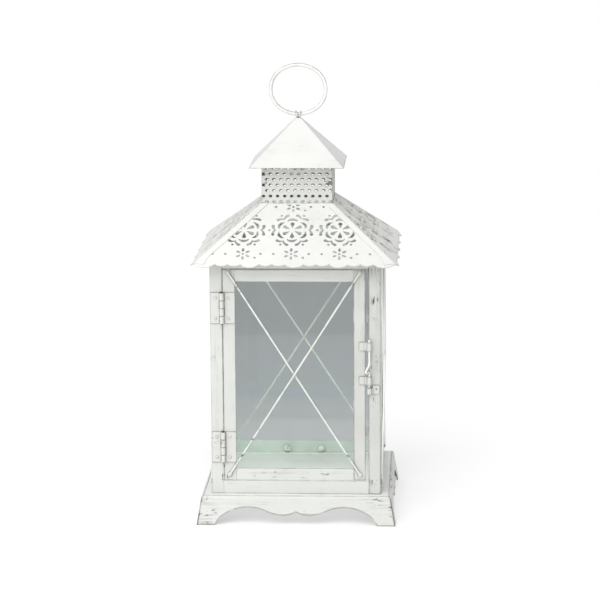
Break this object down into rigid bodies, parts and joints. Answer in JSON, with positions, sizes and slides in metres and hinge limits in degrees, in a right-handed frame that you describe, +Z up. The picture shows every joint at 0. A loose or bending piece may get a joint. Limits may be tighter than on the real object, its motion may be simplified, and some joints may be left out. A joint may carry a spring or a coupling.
{
  "type": "candle lantern",
  "caption": "Square candle lantern of distressed white sheet iron: flared foot, glazed body with crossed wires, hinged door and sliding bolt, pierced roof, vented chimney, hanging ring.",
  "frame": {"origin": "middle of the footprint, on the plane of the feet", "axes": "+Z up, door faces -Y, hinges on the -X side"},
  "size_m": [0.1892, 0.1892, 0.4164],
  "materials": {
    "frame_paint": "matt distressed off-white paint with grey rubs and dark chips",
    "roof_paint": "matt white paint, lightly worn",
    "wire_paint": "off-white paint on wire, bare dark metal where rubbed",
    "glass": "clear sheet with a faint grey-green tint",
    "hinge_pin": "brown, lightly rusted"
  },
  "bodies": {
    "lantern": {"base_apron_back": "frame_paint", "base_apron_front": "frame_paint", "base_apron_left": "frame_paint", "base_apron_right": "frame_paint", "base_deck": "frame_paint", "cap_tabs": "frame_paint", "chimney_cap": "roof_paint", "chimney_wall_back": "roof_paint", "chimney_wall_front": "roof_paint", "chimney_wall_left": "roof_paint", "chimney_wall_right": "roof_paint", "closing_stops": "frame_paint", "glass_back": "glass", "glass_left": "glass", "glass_right": "glass", "glass_stops": "frame_paint", "glass_tabs": "frame_paint", "header_back": "frame_paint", "header_front": "frame_paint", "header_left": "frame_paint", "header_right": "frame_paint", "hinge_lower_pin": "hinge_pin", "hinge_lower_post_leaf": "frame_paint", "hinge_rivets_post": "frame_paint", "hinge_upper_pin": "hinge_pin", "hinge_upper_post_leaf": "frame_paint", "latch_keeper": "frame_paint", "post_back_left": "frame_paint", "post_back_right": "frame_paint", "post_front_left": "frame_paint", "post_front_right": "frame_paint", "ring_eye": "wire_paint", "roof_hip_strips": "roof_paint", "roof_panel_back": "roof_paint", "roof_panel_front": "roof_paint", "roof_panel_left": "roof_paint", "roof_panel_right": "roof_paint", "roof_tabs": "frame_paint", "sill_back": "frame_paint", "sill_front": "frame_paint", "sill_left": "frame_paint", "sill_right": "frame_paint", "window_wires_back": "wire_paint", "window_wires_left": "wire_paint", "window_wires_right": "wire_paint"},
    "door": {"door_stile_hinge": "frame_paint", "door_stile_latch": "frame_paint", "door_rail_top": "frame_paint", "door_rail_bottom": "frame_paint", "door_glass": "glass", "door_glass_tabs": "frame_paint", "door_wire_under": "wire_paint", "door_wire_over": "wire_paint", "hinge_upper_door_leaf": "frame_paint", "hinge_lower_door_leaf": "frame_paint", "hinge_rivets_door": "frame_paint", "latch_strap_upper": "frame_paint", "latch_strap_lower": "frame_paint"},
    "bolt": {"latch_bolt": "wire_paint"},
    "ring": {"hang_ring": "wire_paint"}
  },
  "joints": [
    {"name": "door_swing", "type": "hinge", "parent": "lantern", "child": "door", "pos_m": [-0.0668, -0.07995, 0.1358], "axis": [0, 0, -1], "range_deg": [0, 175]},
    {"name": "bolt_slide", "type": "slide", "parent": "door", "child": "bolt", "axis": [0, 0, 1], "range_m": [-0.0028, 0.007]},
    {"name": "ring_swing", "type": "hinge", "parent": "lantern", "child": "ring", "pos_m": [0, 0, 0.3692], "axis": [1, 0, 0], "range_deg": [-130, 130]}
  ]
}
